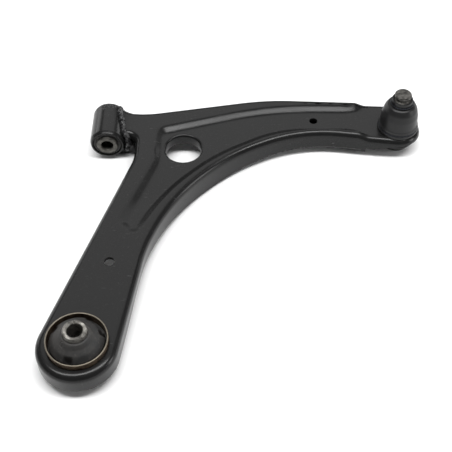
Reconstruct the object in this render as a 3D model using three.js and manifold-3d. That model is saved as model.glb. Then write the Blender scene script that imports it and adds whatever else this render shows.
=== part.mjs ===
// Front lower control arm of a passenger car: a pressed-steel arm with a tubular front bush, a vertical
// rear bush and a ball joint with an upright stud.
// Millimetres, +Z up. Sizes are set out from the rear bush axis (x = 0, y = 0) and the top face of the
// pressing's rim (z = 0): +X runs outboard to the wheel, +Y forward. The finished group stands on z = 0
// with its origin at the bottom centre of its bounding box.
import * as THREE from "three";
import { mergeVertices } from "three/addons/utils/BufferGeometryUtils.js";
import Module from "manifold-3d";

const wasm = await Module();
wasm.setup();

// ---- driving dimensions -------------------------------------------------------------------------

const POINT_SPACING = 7; // distance between the points of a curved outline
const GAP = 0.3; // clearance between touching pieces
const SHEET = 3.5; // thickness of the pressed sheet
const BEND = 8; // outside bend radius along the rim
const FLANGE_DEPTH = 23; // rim top to flange edge on the straight stretches
const FLANGE_DROPS = [
  { x: 130, y: 240, reach: 60, drop: 11 }, // deepest in the inner bend
  { x: 15, y: 306, reach: 24, drop: 12.5 }, // and beside the front bush tube
  { x: 60, y: 84, reach: 32, drop: -6 }, // shallower along the leg's outboard side
];
const FLANGE_RISE = { start: 325, end: 385, rise: 10 }; // shallower round the ball joint
const WEB_DEPTH = 5; // how far the web lies below the rim
const WEB_SLOPE = 11; // width of the slope between rim and web
const JOGGLE = { start: 318, end: 335, drop: 5 }; // the rim steps down to the ball joint plate

const FRONT_AXIS = { x: 5.9, y: 323.7, z: -10 }; // front bush axis, parallel to Y
const TUBE = { half: 27.2, outer: 21.5, inner: 18 };
const FRONT_SLEEVE = { half: 28.7, outer: 11, end: 13.3, endLength: 5, bore: 7.3 };
const FRONT_SHELL = { half: 24.2, outer: 17.7, wall: 1.4 };
const REAR_SHELL = { top: 8, bottom: -30, outer: 33, wall: 1.8 };
const REAR_SLEEVE = { top: 24, bottom: -36, outer: 13, bore: 8.2 };
const REAR_COLLAR = { wall: 3, bottom: -28 };
const BALL = { x: 370.9, y: 325, z: -17, radius: 12.6, flat: -11.6 };
const STUD = { top: 50, land: 10.4, neck: 7, groove: 8.3, chamfer: 1.7 };
const HOUSING = { outer: 19.6, chamber: 14.85, mouth: 11.6, mouthRise: 7.2, rim: 17.4, top: 1 };
const HOUSING_FOOT = { outer: 18.2, bottom: -31.4 };
const HOUSING_FLANGE = { outer: 23.2, top: -20.6, bottom: -23.3 };
const SNAP_GROOVE = { inner: 18.4, top: -2.9, bottom: -4.9 };
const CAP_SEAT = { radius: 16.2, top: -29.3 };
const CAP_BOTTOM = -32;
const SEAT = { wall: 1.65, top: 6.5, bottom: -9.4 };
const BIG_HOLE = { x: 101.5, y: 285.8, radius: 22.5, flange: 14 };
const LEG_HOLE = { x: 24.7, y: 106, radius: 6 };
const ARM_HOLE = { x: 265.2, y: 334.2, radius: 5.2 };

// Corners of the pressing seen from above, each with its radius.
const OUTLINE = [
  [-61.4, -44, 44],
  [36.6, -44, 44],
  [64.2, 128.4, 200],
  [109.1, 247.9, 247],
  [242.1, 308.2, 170],
  [289.2, 306.9, 150],
  [399.6, 292.4, 28.7],
  [399.6, 335.4, 26],
  [378, 365.2, 18],
  [206.2, 372.6, 300],
  [53.2, 345.3, 120],
  [5.9, 350, 0],
  [5.9, 306, 0],
  [41.2, 306, 10],
  [41.2, 268.4, 60],
];

// Corners of the sunken web's upper edge.
const WEB = [
  [27, 165, 12.5],
  [51, 134, 12.5],
  [81.6, 206.4, 230],
  [144.2, 269, 230],
  [222.4, 312, 130],
  [312, 312, 30],
  [362, 275, 0],
  [362, 385, 0],
  [318, 360, 60],
  [212.2, 361.5, 400],
  [64, 318.5, 14],
  [64, 265, 60],
];

// The closing plate welded between the flanges under the arm.
const BRACE = { start: 234, end: 331, startZ: -26.5, endZ: -33.7, top: -14, sheet: 3 };

const COLOUR = {
  ecoat: [0x2c2c2e, 0.42, 0.35],
  weld: [0x343436, 0.5, 0.4],
  rubber: [0x3b3a3a, 0.75, 0],
  bareSteel: [0x8d877d, 0.45, 0.9],
  sleeveSteel: [0x77695a, 0.5, 0.85],
  plastic: [0xd8d5cb, 0.5, 0],
  clip: [0x1d1d1f, 0.45, 0.6],
};

// ---- helpers ------------------------------------------------------------------------------------

// A closed outline through [x, y, radius] corners: straight stretches joined by tangent arcs.
function roundedOutline(corners) {
  const shape = new THREE.Shape();
  corners.forEach(([x, y, radius], i) => {
    const corner = new THREE.Vector2(x, y);
    const before = corners[(i + corners.length - 1) % corners.length];
    const after = corners[(i + 1) % corners.length];
    const back = new THREE.Vector2(before[0], before[1]).sub(corner).normalize();
    const ahead = new THREE.Vector2(after[0], after[1]).sub(corner).normalize();
    if (radius === 0) {
      if (i === 0) shape.moveTo(x, y);
      else shape.lineTo(x, y);
      return;
    }
    const half = Math.acos(THREE.MathUtils.clamp(back.dot(ahead), -1, 1)) / 2;
    const reach = radius / Math.tan(half);
    const start = corner.clone().addScaledVector(back, reach);
    const end = corner.clone().addScaledVector(ahead, reach);
    const middle = back.clone().add(ahead).normalize();
    const centre = corner.clone().addScaledVector(middle, radius / Math.sin(half));
    const from = Math.atan2(start.y - centre.y, start.x - centre.x);
    const to = Math.atan2(end.y - centre.y, end.x - centre.x);
    const clockwise = back.cross(ahead) > 0;
    if (i === 0) shape.moveTo(start.x, start.y);
    else shape.lineTo(start.x, start.y);
    shape.absarc(centre.x, centre.y, radius, from, to, clockwise);
  });
  return shape;
}

// The outline's points, spaced by how sharply it turns.
function outlinePoints(corners) {
  const raw = roundedOutline(corners).getPoints(40);
  const spaced = [];
  for (const point of raw) {
    const last = spaced[spaced.length - 1];
    if (!last || last.distanceTo(point) > POINT_SPACING) spaced.push(point);
  }
  const closing = spaced[0].distanceTo(spaced[spaced.length - 1]);
  if (closing < POINT_SPACING / 2) spaced.pop();
  return spaced;
}

// Moves each point of a closed anticlockwise loop inwards by the same distance.
function insetPoints(points, inset) {
  const count = points.length;
  return points.map((point, i) => {
    const before = points[(i + count - 1) % count];
    const after = points[(i + 1) % count];
    const first = point.clone().sub(before).normalize();
    const second = after.clone().sub(point).normalize();
    const normal = new THREE.Vector2(-first.y - second.y, first.x + second.x).normalize();
    const stretch = 1 / Math.max(normal.dot(new THREE.Vector2(-first.y, first.x)), 0.5);
    return point.clone().addScaledVector(normal, inset * stretch);
  });
}

// A closed solid between rings of equal point count, given from the bottom up as { points, z }.
function stackedRings(rings) {
  const count = rings[0].points.length;
  const positions = [];
  for (const ring of rings) {
    for (const point of ring.points) positions.push(point.x, point.y, ring.z);
  }
  const index = [];
  for (let level = 0; level < rings.length - 1; level++) {
    for (let i = 0; i < count; i++) {
      const j = (i + 1) % count;
      const low = level * count;
      const high = low + count;
      index.push(low + i, low + j, high + j, low + i, high + j, high + i);
    }
  }
  const last = (rings.length - 1) * count;
  const lid = (points, base, flip) => {
    for (const [a, b, c] of THREE.ShapeUtils.triangulateShape(points, [])) {
      if (flip) index.push(base + a, base + c, base + b);
      else index.push(base + a, base + b, base + c);
    }
  };
  lid(rings[0].points, 0, true);
  lid(rings[rings.length - 1].points, last, false);
  const geometry = new THREE.BufferGeometry();
  geometry.setAttribute("position", new THREE.Float32BufferAttribute(positions, 3));
  geometry.setIndex(index);
  return geometry;
}

function toManifold(geometry) {
  const bare = geometry.clone();
  bare.deleteAttribute("normal");
  bare.deleteAttribute("uv");
  const merged = mergeVertices(bare, 1e-4);
  return new wasm.Manifold(
    new wasm.Mesh({
      numProp: 3,
      vertProperties: new Float32Array(merged.attributes.position.array),
      triVerts: new Uint32Array(merged.index.array),
    }),
  );
}

function toGeometry(solid) {
  const mesh = solid.getMesh();
  const geometry = new THREE.BufferGeometry();
  geometry.setAttribute("position", new THREE.BufferAttribute(mesh.vertProperties, 3));
  geometry.setIndex(new THREE.BufferAttribute(mesh.triVerts, 1));
  geometry.computeVertexNormals();
  return geometry;
}

// A ring or plug turned from a closed [radius, z] profile, listed anticlockwise.
function turned(profile, segments = 32) {
  const points = profile.map(([radius, z]) => new THREE.Vector2(radius, z));
  const onAxis = profile[0][0] === 0;
  if (!onAxis) points.push(points[0].clone());
  return new THREE.LatheGeometry(points, segments).rotateX(Math.PI / 2);
}

// A plain ring between two radii and two heights.
function ring(inner, outer, bottom, top, segments = 32) {
  return turned([[inner, bottom], [outer, bottom], [outer, top], [inner, top]], segments);
}

function cylinder(x, y, radius, bottom, top, segments = 32) {
  const geometry = new THREE.CylinderGeometry(radius, radius, top - bottom, segments);
  return geometry.rotateX(Math.PI / 2).translate(x, y, (top + bottom) / 2);
}

// A bead of constant section laid along a smooth line.
function bead(points, radius, steps = 10) {
  const section = new THREE.Shape();
  section.absarc(0, 0, radius, 0, Math.PI * 2, false);
  const path = new THREE.CatmullRomCurve3(points.map((point) => new THREE.Vector3(...point)));
  return new THREE.ExtrudeGeometry(section, { steps, curveSegments: 3, extrudePath: path });
}

const arm = new THREE.Group();

function add(name, geometry, colour, place = [0, 0, 0]) {
  const [hex, roughness, metalness] = colour;
  const material = new THREE.MeshStandardMaterial({ color: hex, roughness, metalness });
  const mesh = new THREE.Mesh(geometry, material);
  mesh.name = name;
  mesh.position.set(...place);
  arm.add(mesh);
  return mesh;
}

// ---- arm pressing -------------------------------------------------------------------------------

// The folded shell's solid, without its hollow: outline, bend and crown, down to a common level.
function pressedBlock(inset, top, bend) {
  const outline = outlinePoints(OUTLINE);
  const levels = [0, 30, 60, 90];
  const rings = [{ points: insetPoints(outline, inset), z: -60 }];
  for (const angle of levels) {
    const turn = THREE.MathUtils.degToRad(angle);
    const inward = inset + bend * (1 - Math.cos(turn));
    rings.push({ points: insetPoints(outline, inward), z: top - bend * (1 - Math.sin(turn)) });
  }
  return toManifold(stackedRings(rings));
}

// Everything above the sunken web, with sloping sides.
function webHollow(lower, grow) {
  const outline = outlinePoints(WEB);
  const floor = -WEB_DEPTH - lower;
  return toManifold(
    stackedRings([
      { points: insetPoints(outline, WEB_SLOPE - grow), z: floor },
      { points: insetPoints(outline, -grow), z: floor + WEB_DEPTH },
      { points: insetPoints(outline, -grow), z: 5 },
    ]),
  );
}

// Everything above the rim where it steps down to the ball joint plate.
function joggleWedge(lower) {
  const wedge = new THREE.Shape();
  wedge.moveTo(JOGGLE.start, -lower);
  wedge.lineTo(JOGGLE.end, -JOGGLE.drop - lower);
  wedge.lineTo(420, -JOGGLE.drop - lower);
  wedge.lineTo(420, 5);
  wedge.lineTo(JOGGLE.start, 5);
  const geometry = new THREE.ExtrudeGeometry(wedge, { depth: 140, bevelEnabled: false });
  return toManifold(geometry.rotateX(Math.PI / 2).translate(0, 400, 0));
}

function pressedForm(inset) {
  const bend = BEND - inset;
  const high = pressedBlock(inset, -inset, bend).subtract(joggleWedge(inset));
  const low = pressedBlock(inset, -inset - JOGGLE.drop, bend);
  return high.add(low);
}

// Height of the flange's lower edge over a spot in the plan.
function flangeEdge(x, y) {
  let height = -FLANGE_DEPTH;
  for (const { x: atX, y: atY, reach, drop } of FLANGE_DROPS) {
    const away = Math.hypot(x - atX, y - atY) / reach;
    height -= drop * Math.exp((-away * away) / 2);
  }
  const { start, end, rise } = FLANGE_RISE;
  return height + rise * THREE.MathUtils.smoothstep(x, start, end);
}

// A block whose top follows the flange's lower edge, to trim the flange.
function flangeTrim() {
  const across = 45;
  const plane = new THREE.PlaneGeometry(560, 520, across, across);
  const spots = plane.attributes.position;
  const top = [];
  for (let i = 0; i < spots.count; i++) {
    const x = spots.getX(i) + 180;
    const y = spots.getY(i) + 160;
    top.push(x, y, flangeEdge(x, y));
  }
  const side = across + 1;
  const low = top.map((value, i) => (i % 3 === 2 ? -70 : value));
  const offset = spots.count;
  const index = [];
  for (let row = 0; row < across; row++) {
    for (let col = 0; col < across; col++) {
      const a = row * side + col;
      const b = a + 1;
      const c = a + side;
      const d = c + 1;
      index.push(a, c, b, b, c, d);
      index.push(offset + a, offset + b, offset + c, offset + b, offset + d, offset + c);
    }
  }
  const wall = (a, b) => index.push(a, b, offset + a, b, offset + b, offset + a);
  for (let i = 0; i < across; i++) {
    wall(i, i + 1);
    wall(across * side + i + 1, across * side + i);
    wall((i + 1) * side, i * side);
    wall(i * side + across, (i + 1) * side + across);
  }
  const geometry = new THREE.BufferGeometry();
  geometry.setAttribute("position", new THREE.Float32BufferAttribute([...top, ...low], 3));
  geometry.setIndex(index);
  return toManifold(geometry);
}

function pressing() {
  const outer = pressedForm(0).subtract(webHollow(0, 0));
  const inner = pressedForm(SHEET).subtract(webHollow(SHEET, SHEET / 2));
  let shell = outer.subtract(inner).subtract(flangeTrim());
  const { x, y } = BIG_HOLE;
  const rolledBottom = -WEB_DEPTH - BIG_HOLE.flange;
  const rolled = cylinder(x, y, BIG_HOLE.radius + SHEET, rolledBottom, -WEB_DEPTH - 0.2, 40);
  shell = shell.add(toManifold(rolled));
  const holes = [
    cylinder(x, y, BIG_HOLE.radius, -60, 20, 40),
    cylinder(LEG_HOLE.x, LEG_HOLE.y, LEG_HOLE.radius, -60, 20, 20),
    cylinder(ARM_HOLE.x, ARM_HOLE.y, ARM_HOLE.radius, -60, 20, 20),
    cylinder(0, 0, REAR_SHELL.outer + GAP, -60, 20, 48),
    cylinder(BALL.x, BALL.y, HOUSING.outer + GAP, -60, 20, 40),
    rod(TUBE.outer + GAP, TUBE.half + 20, 40),
  ];
  for (const hole of holes) shell = shell.subtract(toManifold(hole));
  return toGeometry(shell);
}

// A solid rod on the front bush axis.
function rod(radius, half, segments) {
  const geometry = new THREE.CylinderGeometry(radius, radius, 2 * half, segments);
  return geometry.translate(FRONT_AXIS.x, FRONT_AXIS.y, FRONT_AXIS.z);
}

// ---- closing plate under the arm ----------------------------------------------------------------

// The space between the flanges along the closing plate, above its sloping floor.
function braceBlock(inset, lift) {
  const points = insetPoints(outlinePoints(OUTLINE), inset);
  const prism = toManifold(stackedRings([{ points, z: -50 }, { points, z: BRACE.top + lift }]));
  const slope = (BRACE.endZ - BRACE.startZ) / (BRACE.end - BRACE.start);
  const over = lift > 0 ? 5 : 0;
  const profile = new THREE.Shape();
  profile.moveTo(BRACE.start - over, BRACE.startZ + lift - slope * over);
  profile.lineTo(BRACE.end + over, BRACE.endZ + lift + slope * over);
  profile.lineTo(BRACE.end + over, 0);
  profile.lineTo(BRACE.start - over, 0);
  const slab = new THREE.ExtrudeGeometry(profile, { depth: 140, bevelEnabled: false });
  return prism.intersect(toManifold(slab.rotateX(Math.PI / 2).translate(0, 400, 0)));
}

function closingPlate() {
  const shell = SHEET + GAP;
  return toGeometry(braceBlock(shell, 0).subtract(braceBlock(shell + BRACE.sheet, BRACE.sheet)));
}

// A bead along the flange's lower edge where it meets the closing plate.
function braceWeld(front) {
  const size = 1.2;
  const middle = 330;
  const even = roundedOutline(OUTLINE).getSpacedPoints(240).slice(0, -1);
  const line = insetPoints(even, SHEET - size - 0.1)
    .filter((point) => point.x > BRACE.start + 16 && point.x < BRACE.end - 6)
    .filter((point) => point.y > middle === front)
    .map((point) => [point.x, point.y, flangeEdge(point.x, point.y) - size - 0.4]);
  return bead(line, size, 12);
}

// ---- front bush: tube, rubber bush and welds ----------------------------------------------------

// A ring turned about the front bush axis from a [radius, distance along the axis] profile.
function frontTurned(profile, segments = 32) {
  const points = [...profile, profile[0]].map(([radius, along]) => new THREE.Vector2(radius, along));
  const { x, y, z } = FRONT_AXIS;
  return new THREE.LatheGeometry(points, segments).translate(x, y, z);
}

function frontRing(inner, outer, half, segments = 32) {
  return frontTurned([[inner, -half], [outer, -half], [outer, half], [inner, half]], segments);
}

function frontSleeve() {
  const { half, outer, end, endLength, bore } = FRONT_SLEEVE;
  const neck = half - endLength;
  return frontTurned([
    [bore, -half], [end, -half], [end, -neck], [outer, -neck],
    [outer, neck], [end, neck], [end, half], [bore, half],
  ]);
}

function frontRubber() {
  const inner = FRONT_SLEEVE.outer + GAP;
  const neck = FRONT_SLEEVE.half - FRONT_SLEEVE.endLength - GAP;
  const throat = FRONT_SLEEVE.end + GAP;
  const outer = FRONT_SHELL.outer - FRONT_SHELL.wall - GAP;
  const lipStart = FRONT_SHELL.half + GAP;
  const lipEnd = TUBE.half - GAP;
  const lip = TUBE.inner - GAP;
  return frontTurned([
    [throat, -lipEnd], [lip, -lipEnd], [lip, -lipStart], [outer, -lipStart],
    [outer, lipStart], [lip, lipStart], [lip, lipEnd], [throat, lipEnd],
    [throat, neck], [inner, neck], [inner, -neck], [throat, -neck],
  ]);
}

// The bead round the outside of the ear, along its top and down its near wall.
function frontWeldOutside() {
  return bead([
    [27.4, 346, 4.2], [27.4, 330, 4.2], [27.6, 313, 4], [30, 303.6, 0.4],
    [31.9, 301.8, -8], [31, 301.8, -16], [27.5, 301.8, -25],
  ], 3.6, 16);
}

// The bead under the ear's top, inside the channel.
function frontWeldInside() {
  const x = FRONT_AXIS.x + TUBE.outer + 2.9;
  return bead([[x, 314, -7], [x, 328, -7], [x, 341, -7]], 2.4, 5);
}

// ---- rear bush ----------------------------------------------------------------------------------

function rearRubber() {
  const inner = REAR_SLEEVE.outer + GAP;
  const outer = REAR_SHELL.outer - REAR_SHELL.wall - GAP;
  return turned([
    [inner, -28], [26, -25], [outer, -22], [outer, -4], [28.2, -4],
    [27.8, 2.5], [24, 8.5], [19, 13.5], [inner, 18.5],
  ], 40);
}

function rearCollarWeld() {
  return new THREE.TorusGeometry(37.8, 1.1, 6, 32).translate(0, 0, -8);
}

// ---- ball joint ---------------------------------------------------------------------------------

// Points on a circle about the ball centre, from one height above it to another.
function ballArc(radius, from, to, steps) {
  return Array.from({ length: steps + 1 }, (_, i) => {
    const start = Math.asin(from / radius);
    const angle = start + (i / steps) * (Math.asin(to / radius) - start);
    return [radius * Math.cos(angle), BALL.z + radius * Math.sin(angle)];
  });
}

function ballStud() {
  const { top, land, neck, groove, chamfer } = STUD;
  const shoulder = Math.sqrt(BALL.radius ** 2 - neck ** 2);
  return turned([
    [0, BALL.z + BALL.flat],
    ...ballArc(BALL.radius, BALL.flat, shoulder, 10),
    [neck, 3], [land, 20], [land, 40.2], [groove + 0.5, 42], [groove, 44], [groove + 0.5, 46],
    [land, 47.4], [land, top - chamfer], [land - chamfer, top], [0, top],
  ], 24);
}

function ballHousing() {
  const { outer, chamber, mouth, mouthRise, rim, top } = HOUSING;
  const foot = HOUSING_FOOT;
  const flange = HOUSING_FLANGE;
  const groove = SNAP_GROOVE;
  const lip = Math.sqrt(chamber ** 2 - mouthRise ** 2);
  return turned([
    [CAP_SEAT.radius, foot.bottom], [foot.outer - 0.6, foot.bottom], [foot.outer, foot.bottom + 1.2],
    [foot.outer, flange.bottom], [flange.outer, flange.bottom], [flange.outer, flange.top],
    [outer, flange.top], [outer, groove.bottom], [groove.inner, groove.bottom], [groove.inner, groove.top],
    [outer, groove.top], [outer, top], [rim, top], [mouth, BALL.z + mouthRise],
    [lip, BALL.z + mouthRise], ...ballArc(chamber, mouthRise, 0, 3).slice(1),
    [chamber, CAP_SEAT.top], [CAP_SEAT.radius, CAP_SEAT.top],
  ], 24);
}

// The welded ring under the plate that the housing is pressed into.
function ballCollar() {
  const bore = HOUSING.outer + GAP;
  const top = -JOGGLE.drop - SHEET - GAP;
  const bottom = HOUSING_FLANGE.top + GAP;
  const outer = HOUSING_FLANGE.outer;
  return turned([[bore, bottom], [outer, bottom], [outer, -14], [bore + 0.5, top], [bore, top]]);
}

function ballSeat() {
  const inner = BALL.radius + GAP;
  const outer = inner + SEAT.wall;
  return turned([
    ...ballArc(inner, SEAT.top, SEAT.bottom, 6),
    [outer, BALL.z + SEAT.bottom],
    [outer, BALL.z],
    ...ballArc(outer, 0, SEAT.top, 3).slice(1),
  ], 24);
}

function dustBoot() {
  return turned([
    [23.5, -4.7], [25.3, -4.7], [25.3, -1.6], [23.6, -1.2], [23.6, 0.8], [24.3, 1.2], [24, 5],
    [22.7, 15], [20.6, 25], [18.2, 31], [15.4, 34], [12.9, 34.3], [12.9, 41.8], [10.7, 41.8], [10.7, 32.4],
    [13.5, 31.8], [16.2, 29.2], [18.6, 23], [20.7, 14.5], [22, 6], [21.9, 3], [19.9, 0.9],
    [19.9, -2.5], [23.5, -2.5],
  ], 24);
}

// ---- assembly -----------------------------------------------------------------------------------

const ballPlace = [BALL.x, BALL.y, 0];
add("arm_pressing", pressing(), COLOUR.ecoat);
add("closing_plate", closingPlate(), COLOUR.ecoat);
add("closing_plate_weld_rear", braceWeld(false), COLOUR.weld);
add("closing_plate_weld_front", braceWeld(true), COLOUR.weld);

add("front_bush_tube", frontRing(TUBE.inner, TUBE.outer, TUBE.half), COLOUR.ecoat);
add("front_tube_weld_outside", frontWeldOutside(), COLOUR.weld);
add("front_tube_weld_inside", frontWeldInside(), COLOUR.weld);
const shellInner = FRONT_SHELL.outer - FRONT_SHELL.wall;
add("front_bush_shell", frontRing(shellInner, FRONT_SHELL.outer, FRONT_SHELL.half), COLOUR.sleeveSteel);
add("front_bush_rubber", frontRubber(), COLOUR.rubber);
add("front_inner_sleeve", frontSleeve(), COLOUR.bareSteel);

const rearBore = REAR_SHELL.outer + GAP;
add(
  "rear_bush_collar",
  ring(rearBore, rearBore + REAR_COLLAR.wall, REAR_COLLAR.bottom, -SHEET - GAP),
  COLOUR.ecoat,
);
add("rear_collar_weld", rearCollarWeld(), COLOUR.weld);
const rearShellInner = REAR_SHELL.outer - REAR_SHELL.wall;
add(
  "rear_bush_shell",
  ring(rearShellInner, REAR_SHELL.outer, REAR_SHELL.bottom, REAR_SHELL.top, 40),
  COLOUR.sleeveSteel,
);
add("rear_bush_rubber", rearRubber(), COLOUR.rubber);
add(
  "rear_inner_sleeve",
  ring(REAR_SLEEVE.bore, REAR_SLEEVE.outer, REAR_SLEEVE.bottom, REAR_SLEEVE.top),
  COLOUR.bareSteel,
);

add("ball_joint_collar", ballCollar(), COLOUR.ecoat, ballPlace);
add("ball_joint_housing", ballHousing(), COLOUR.ecoat, ballPlace);
add("housing_snap_ring", ring(18.7, 22.6, -4.6, -3.2), COLOUR.clip, ballPlace);
add("ball_seat", ballSeat(), COLOUR.plastic, ballPlace);
add("seat_preload_ring", ring(9.5, 14.5, -29, -26.8, 24), COLOUR.rubber, ballPlace);
const capTop = CAP_SEAT.top - GAP;
const capRim = CAP_SEAT.radius - GAP;
const capProfile = [[0, CAP_BOTTOM], [13, CAP_BOTTOM], [capRim, -31.2], [capRim, capTop], [0, capTop]];
add("ball_joint_cap", turned(capProfile), COLOUR.ecoat, ballPlace);
add("ball_stud", ballStud(), COLOUR.bareSteel, ballPlace);
add("dust_boot", dustBoot(), COLOUR.rubber, ballPlace);
add("boot_lower_clip", ring(23.9, 25, -0.9, 0.5), COLOUR.clip, ballPlace);
add("boot_upper_clip", ring(13.2, 14.5, 36, 37.4, 24), COLOUR.clip, ballPlace);

// The group's origin is the bottom centre of the whole arm.
arm.updateMatrixWorld(true);
const bounds = new THREE.Box3().setFromObject(arm);
const centre = bounds.getCenter(new THREE.Vector3());
arm.position.set(-centre.x, -centre.y, -bounds.min.z);

export default arm;
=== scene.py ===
import math

import bmesh
import bpy
import numpy as np
from mathutils.geometry import delaunay_2d_cdt
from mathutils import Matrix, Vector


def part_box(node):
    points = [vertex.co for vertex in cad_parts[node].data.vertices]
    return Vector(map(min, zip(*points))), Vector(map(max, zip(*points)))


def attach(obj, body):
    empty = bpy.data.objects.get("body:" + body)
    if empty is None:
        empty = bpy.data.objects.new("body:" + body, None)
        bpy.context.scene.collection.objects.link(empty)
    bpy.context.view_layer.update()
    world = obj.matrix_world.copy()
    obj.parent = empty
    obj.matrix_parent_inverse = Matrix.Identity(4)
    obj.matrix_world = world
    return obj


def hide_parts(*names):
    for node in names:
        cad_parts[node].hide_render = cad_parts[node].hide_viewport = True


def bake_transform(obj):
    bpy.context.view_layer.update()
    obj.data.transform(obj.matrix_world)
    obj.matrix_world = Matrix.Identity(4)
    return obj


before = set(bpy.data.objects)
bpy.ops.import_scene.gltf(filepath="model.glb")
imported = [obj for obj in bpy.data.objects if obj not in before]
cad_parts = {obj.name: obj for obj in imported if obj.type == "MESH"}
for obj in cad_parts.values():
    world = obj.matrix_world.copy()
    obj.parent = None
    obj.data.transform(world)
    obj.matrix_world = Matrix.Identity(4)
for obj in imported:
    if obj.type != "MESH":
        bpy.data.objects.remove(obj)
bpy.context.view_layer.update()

# ---- studio: floor, light and camera ---------------------
# The arm lies on a plain pale floor in a dim room, with a long soft box overhead, a broad one behind it and
# weak ones at the sides. Lengths are in millimetres from the rear bush's axis and the top of the arm's rim.

MM = 0.001
sleeve_low, sleeve_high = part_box("rear_inner_sleeve")
rim_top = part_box("arm_pressing")[1].z
DATUM = np.array([(sleeve_low.x + sleeve_high.x) / 2, (sleeve_low.y + sleeve_high.y) / 2, rim_top])


def place(points):
    """Millimetres from the rear bush axis and the rim's top, as metres in the frame."""
    return np.asarray(points, float) * MM + DATUM


def linear(hex_colour):
    """The linear colour of an sRGB hex value."""
    values = [int(hex_colour[i : i + 2], 16) / 255 for i in (1, 3, 5)]
    return [v / 12.92 if v <= 0.04045 else ((v + 0.055) / 1.055) ** 2.4 for v in values] + [1.0]


def fill(tree, made, sockets):
    """Gives each of a node's sockets a value, or the output that feeds it."""
    for key, value in sockets.items():
        if isinstance(value, bpy.types.NodeSocket):
            tree.links.new(value, made.inputs[key])
        else:
            made.inputs[key].default_value = value


def blank_material(name):
    """A new material with its node tree and shader."""
    material = bpy.data.materials.new(name)
    material.use_nodes = True
    return material, material.node_tree, material.node_tree.nodes["Principled BSDF"]


def floor_paper():
    """Matt paper: an even pale grey with hardly any sheen."""
    material, tree, shader = blank_material("floor_paper")
    fill(tree, shader, {"Base Color": linear("#f4f4f4"), "Roughness": 0.9, "Specular IOR Level": 0.1})
    return material


def soft_box(name, centre, target, width, depth, power):
    """A rectangular area light at centre, turned towards target."""
    light = bpy.data.lights.new(name, "AREA")
    light.shape = "RECTANGLE"
    light.size = width
    light.size_y = depth
    light.energy = power
    lamp = bpy.data.objects.new(name, light)
    bpy.context.scene.collection.objects.link(lamp)
    lamp.location = centre
    aim = np.array(target) - np.array(centre)
    tilt = math.atan2(math.hypot(aim[0], aim[1]), -aim[2])
    lamp.rotation_euler = (tilt, 0, math.atan2(aim[1], aim[0]) - math.pi / 2)


FLOOR_HALF = 5.0
floor_mesh = bpy.data.meshes.new("floor")
corners = [(x * FLOOR_HALF, y * FLOOR_HALF, 0) for x, y in ((-1, -1), (1, -1), (1, 1), (-1, 1))]
floor_mesh.from_pydata(corners, [], [(0, 1, 2, 3)])
floor_mesh.materials.append(floor_paper())
floor = bpy.data.objects.new("floor", floor_mesh)
bpy.context.scene.collection.objects.link(floor)

world = bpy.data.worlds.new("pale_room")
world.use_nodes = True
room = world.node_tree.nodes["Background"]
room.inputs["Color"].default_value = linear("#ffffff")
room.inputs["Strength"].default_value = 0.17
bpy.context.scene.world = world
bpy.context.scene.view_settings.view_transform = "Standard"

soft_box("overhead_box", (0.0, -0.15, 1.7), (0.0, 0.0, 0.0), 2.2, 0.42, 44)
soft_box("back_box", (0.0, 1.6, 1.8), (0.0, 0.05, 0.0), 2.6, 1.5, 17)
soft_box("left_box", (-1.4, 1.1, 0.4), (-0.15, 0.15, 0.05), 1.0, 0.6, 4.5)
soft_box("right_box", (1.7, -0.3, 0.5), (0.15, 0.1, 0.05), 0.5, 0.7, 7)
soft_box("back_right_box", (1.35, 1.25, 0.4), (0.0, 0.15, 0.05), 0.9, 0.55, 4)

CAMERA_FROM_DATUM = (154.2, -513.29, 811.94)
CAMERA_PITCH = 39.541
camera_data = bpy.data.cameras.new("camera")
camera_data.lens = 73.26
camera_data.sensor_width = 36
camera = bpy.data.objects.new("camera", camera_data)
bpy.context.scene.collection.objects.link(camera)
camera.location = place(CAMERA_FROM_DATUM)
camera.rotation_euler = (math.radians(CAMERA_PITCH), 0, 0)
bpy.context.scene.camera = camera

# ---- arm pressing ----------------------------------------
# One blank of 3.5 mm steel sheet, drawn into an upside-down channel: a rim with an 8 mm bend, a web pressed
# 5 mm below it and a plate stepped down to the ball joint. Punched, flanged, then dipped in black coat.

SHEET = 3.5
BEND = 8.0
# Outlines list x, y and the corner's radius, holes x, y and their own radius, and the drops of the flange's
# edge x, y, reach and depth.
PLAN = [
    (-61.4, -44, 44), (36.6, -44, 44), (64.2, 128.4, 200), (109.1, 247.9, 247), (242.1, 308.2, 170),
    (289.2, 306.9, 150), (399.6, 292.4, 28.7), (399.6, 335.4, 26), (378, 365.2, 18),
    (206.2, 372.6, 300), (53.2, 345.3, 120), (5.9, 350, 0), (5.9, 306, 0), (41.2, 306, 10),
    (41.2, 268.4, 60),
]
WEB = [
    (27, 165, 12.5), (51, 134, 12.5), (81.6, 206.4, 230), (144.2, 269, 230), (222.4, 312, 130),
    (312, 312, 30), (362, 275, 0), (362, 385, 0), (318, 360, 60), (212.2, 361.5, 400),
    (64, 318.5, 19), (64, 265, 60),
]
WEB_DEPTH = 5.0
WEB_SLOPE = 10.8
WEB_SLOPE_VARIES = 2.7
WEB_SLOPE_LEFT = 2.6
WEB_FADE = (128, 205)
WEB_ROUNDING = 0.24
STEP_FROM, STEP_TO = 318, 335
FLANGE_DEPTH = 23.0
FLANGE_DROPS = [(130, 240, 60, 11), (15, 306, 24, 11.7), (60, 84, 32, -6)]
EAR_LIFT = 8.5
EAR_LIFT_X, EAR_LIFT_Y = (13, 38), (302, 338)
FLANGE_RISE = (325, 385, 10)
TUBE_AXIS = np.array([5.9, 323.7, -10.0])
TUBE_OUTER, TUBE_INNER, TUBE_HALF = 21.5, 18.0, 27.2
TUBE_CLEAR, TUBE_REACH = 0.2, 40.0
EAR_CUT_FROM, EAR_CUT_BITE, EAR_CUT_PAST = 290, 0.9, 1.0
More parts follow.
